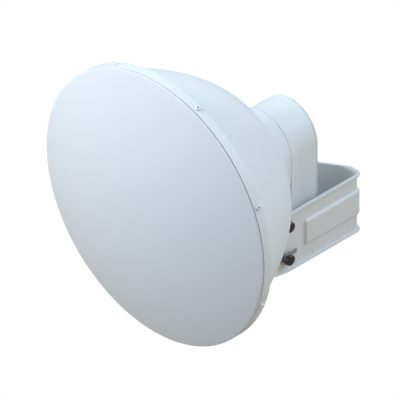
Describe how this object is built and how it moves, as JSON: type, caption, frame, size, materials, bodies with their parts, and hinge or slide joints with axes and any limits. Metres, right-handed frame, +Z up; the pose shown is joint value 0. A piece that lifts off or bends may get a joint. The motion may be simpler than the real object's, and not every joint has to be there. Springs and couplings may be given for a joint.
{
  "type": "microwave dish antenna",
  "caption": "Closed microwave dish antenna: domed radome, round bowl with a flared neck, upright radio housing and a U-shaped pole bracket that lets it tilt.",
  "frame": {"origin": "centre of the flat floor of the pole recess, on the bracket's rear face", "axes": "+Y is the rear face's outward normal, towards the pole; +Z is up; the antenna looks along -Y at zero elevation"},
  "size_m": [0.378, 0.3325, 0.378],
  "materials": {
    "bracket_paint": "white powder coat, satin",
    "bowl_paint": "white powder coat, satin",
    "radome_plastic": "smooth moulded, satin",
    "screw_paint": "white paint, satin",
    "housing_plastic": "fine moulded texture",
    "zinc_steel": "zinc plated, dull",
    "dark_bolt": "black oxide"
  },
  "bodies": {
    "bracket": {"pole_bracket": "bracket_paint"},
    "antenna": {"reflector_bowl": "bowl_paint", "bowl_neck": "bowl_paint", "rim_band": "bowl_paint", "radome": "radome_plastic", "rim_screw_1": "screw_paint", "rim_screw_2": "screw_paint", "rim_screw_3": "screw_paint", "rim_screw_4": "screw_paint", "rim_screw_5": "screw_paint", "rim_screw_6": "screw_paint", "rim_screw_7": "screw_paint", "rim_screw_8": "screw_paint", "housing_body": "housing_plastic", "housing_back_cover": "housing_plastic", "housing_bottom_cap": "housing_plastic", "dish_yoke": "bracket_paint", "yoke_bolt_1": "zinc_steel", "yoke_bolt_2": "zinc_steel", "yoke_bolt_3": "zinc_steel", "yoke_bolt_4": "zinc_steel", "pivot_bolt_right": "dark_bolt", "pivot_bolt_left": "dark_bolt", "lock_bolt_right": "dark_bolt", "lock_bolt_left": "dark_bolt", "pivot_spring_washer_right": "zinc_steel", "pivot_spring_washer_left": "zinc_steel", "lock_spring_washer_right": "zinc_steel", "lock_spring_washer_left": "zinc_steel", "pivot_flat_washer_right": "zinc_steel", "pivot_flat_washer_left": "zinc_steel", "lock_flat_washer_right": "zinc_steel", "lock_flat_washer_left": "zinc_steel", "pivot_nut_right": "zinc_steel", "pivot_nut_left": "zinc_steel", "lock_nut_right": "zinc_steel", "lock_nut_left": "zinc_steel"}
  },
  "joints": [
    {"name": "elevation", "type": "hinge", "parent": "bracket", "child": "antenna", "pos_m": [0, -0.1055, 0.0265], "axis": [-1, 0, 0], "range_deg": [-15, 15]}
  ]
}
